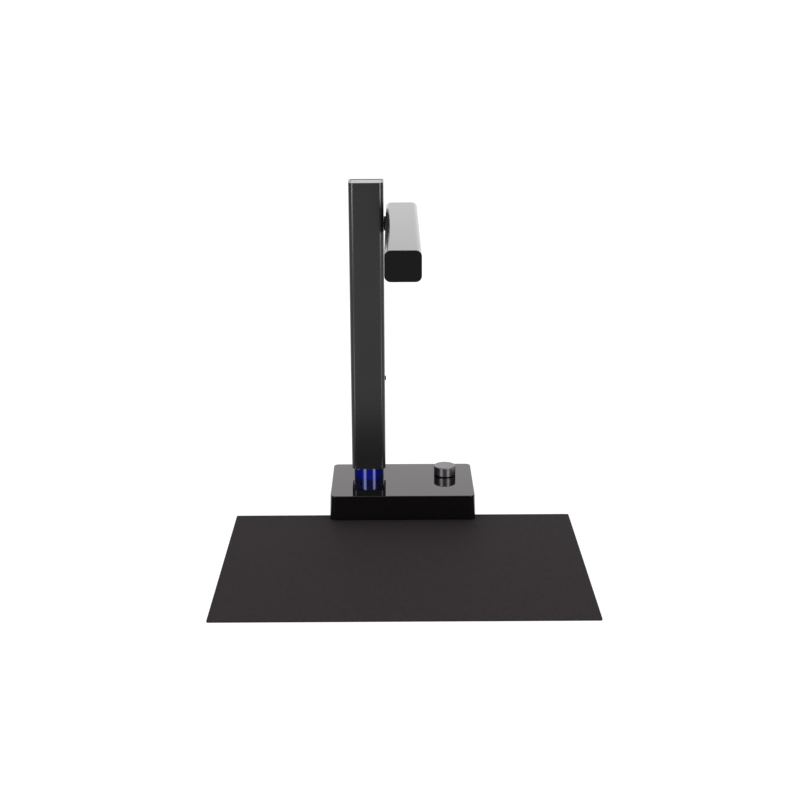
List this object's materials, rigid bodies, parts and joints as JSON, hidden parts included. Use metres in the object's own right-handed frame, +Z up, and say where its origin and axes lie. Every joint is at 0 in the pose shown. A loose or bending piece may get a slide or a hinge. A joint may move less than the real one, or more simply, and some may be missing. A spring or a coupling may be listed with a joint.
{
  "type": "book scanner",
  "caption": "Overhead document scanner: camera arm that folds down beside a square post on a weighted base, with a push-and-turn knob, a light ring and a document mat.",
  "frame": {"origin": "on the table, below the middle of the whole object with its mat in place", "axes": "+Z up; +X to the operator's right; the operator sits on the -Y side and the mat lies there"},
  "size_m": [0.35, 0.3439, 0.3467],
  "materials": {
    "base_gloss": "polished black moulding",
    "cover_matte": "fine moulded texture",
    "steel_plate": "zinc plated",
    "screw_steel": "blackened steel",
    "foot_rubber": "matte rubber",
    "board_green": "solder mask",
    "chip_black": "moulded package",
    "connector_white": "moulded nylon",
    "port_metal": "stamped and plated",
    "spacer_brass": "turned",
    "encoder_metal": "die cast",
    "knob_metal": "turned and dark anodised",
    "cast_metal": "die cast",
    "ring_blue": "tinted clear, lit from inside",
    "led_strip": "flexible circuit",
    "post_anodised": "satin dark anodised",
    "cap_gloss": "polished black moulding",
    "boss_black": "moulded acetal",
    "bush_brass": "sintered bronze",
    "hinge_steel": "hardened steel",
    "arm_anodised": "satin dark anodised",
    "arm_cap_matte": "fine moulded texture",
    "lens_glass": "coated",
    "lens_black": "black anodised",
    "diffuser_white": "opal",
    "led_yellow": "phosphor",
    "sensor_dark": "cover glass",
    "wire_black": "jacket",
    "mat_rubber": "matte leather-grained sheet"
  },
  "bodies": {
    "base": {"base_top_shell": "base_gloss", "base_bottom_cover": "cover_matte", "cover_screws": "screw_steel", "rubber_feet": "foot_rubber", "ballast_plate": "steel_plate", "main_board": "board_green", "board_spacers": "spacer_brass", "board_screws": "screw_steel", "controller_chip": "chip_black", "harness_socket": "connector_white", "usb_socket": "port_metal", "encoder_body": "encoder_metal", "encoder_nut": "encoder_metal", "post_spigot": "cast_metal", "spigot_bolts": "screw_steel", "light_ring": "ring_blue", "ring_led_strip": "led_strip", "post_tube": "post_anodised", "post_top_cap": "cap_gloss", "post_screws": "screw_steel", "side_bumper": "foot_rubber", "hinge_bush": "bush_brass", "hinge_housing": "cast_metal", "friction_washer": "bush_brass", "stop_pin": "hinge_steel", "post_harness": "wire_black"},
    "plunger": {"encoder_plunger": "connector_white"},
    "knob": {"encoder_shaft": "encoder_metal", "knob_cap": "knob_metal"},
    "arm": {"hinge_shaft": "hinge_steel", "pivot_boss": "boss_black", "flange_screws": "screw_steel", "stop_washer": "hinge_steel", "spring_washers": "hinge_steel", "lock_nut": "hinge_steel", "arm_shell": "arm_anodised", "arm_front_cap": "arm_cap_matte", "arm_rear_cap": "arm_cap_matte", "arm_bottom_cover": "arm_cap_matte", "lens_window": "lens_glass", "lens_barrel": "lens_black", "lens_front_glass": "lens_glass", "lens_rear_glass": "lens_glass", "lens_holder": "lens_black", "filter_glass": "lens_glass", "image_sensor": "sensor_dark", "sensor_board": "board_green", "sensor_screws": "screw_steel", "sensor_socket": "connector_white", "led_board_front": "board_green", "led_board_rear": "board_green", "led_chips": "led_yellow", "led_diffuser_front": "diffuser_white", "led_diffuser_rear": "diffuser_white", "arm_harness": "wire_black"},
    "mat": {"document_mat": "mat_rubber"}
  },
  "joints": [
    {"name": "arm_fold", "type": "hinge", "parent": "base", "child": "arm", "pos_m": [-0.018, 0.1358, 0.303], "axis": [1, 0, 0], "range_deg": [0, 90]},
    {"name": "knob_push", "type": "slide", "parent": "base", "child": "plunger", "axis": [0, 0, -1], "range_m": [0, 0.0005], "stiffness_N_per_m": 4000, "springref_m": -0.0003},
    {"name": "knob_turn", "type": "hinge", "parent": "plunger", "child": "knob", "pos_m": [0.046, 0.1358, 0.0343], "axis": [0, 0, 1], "continuous": true},
    {"name": "mat_pull", "type": "slide", "parent": "base", "child": "mat", "axis": [0, -1, 0], "range_m": [0, 0.03]}
  ]
}
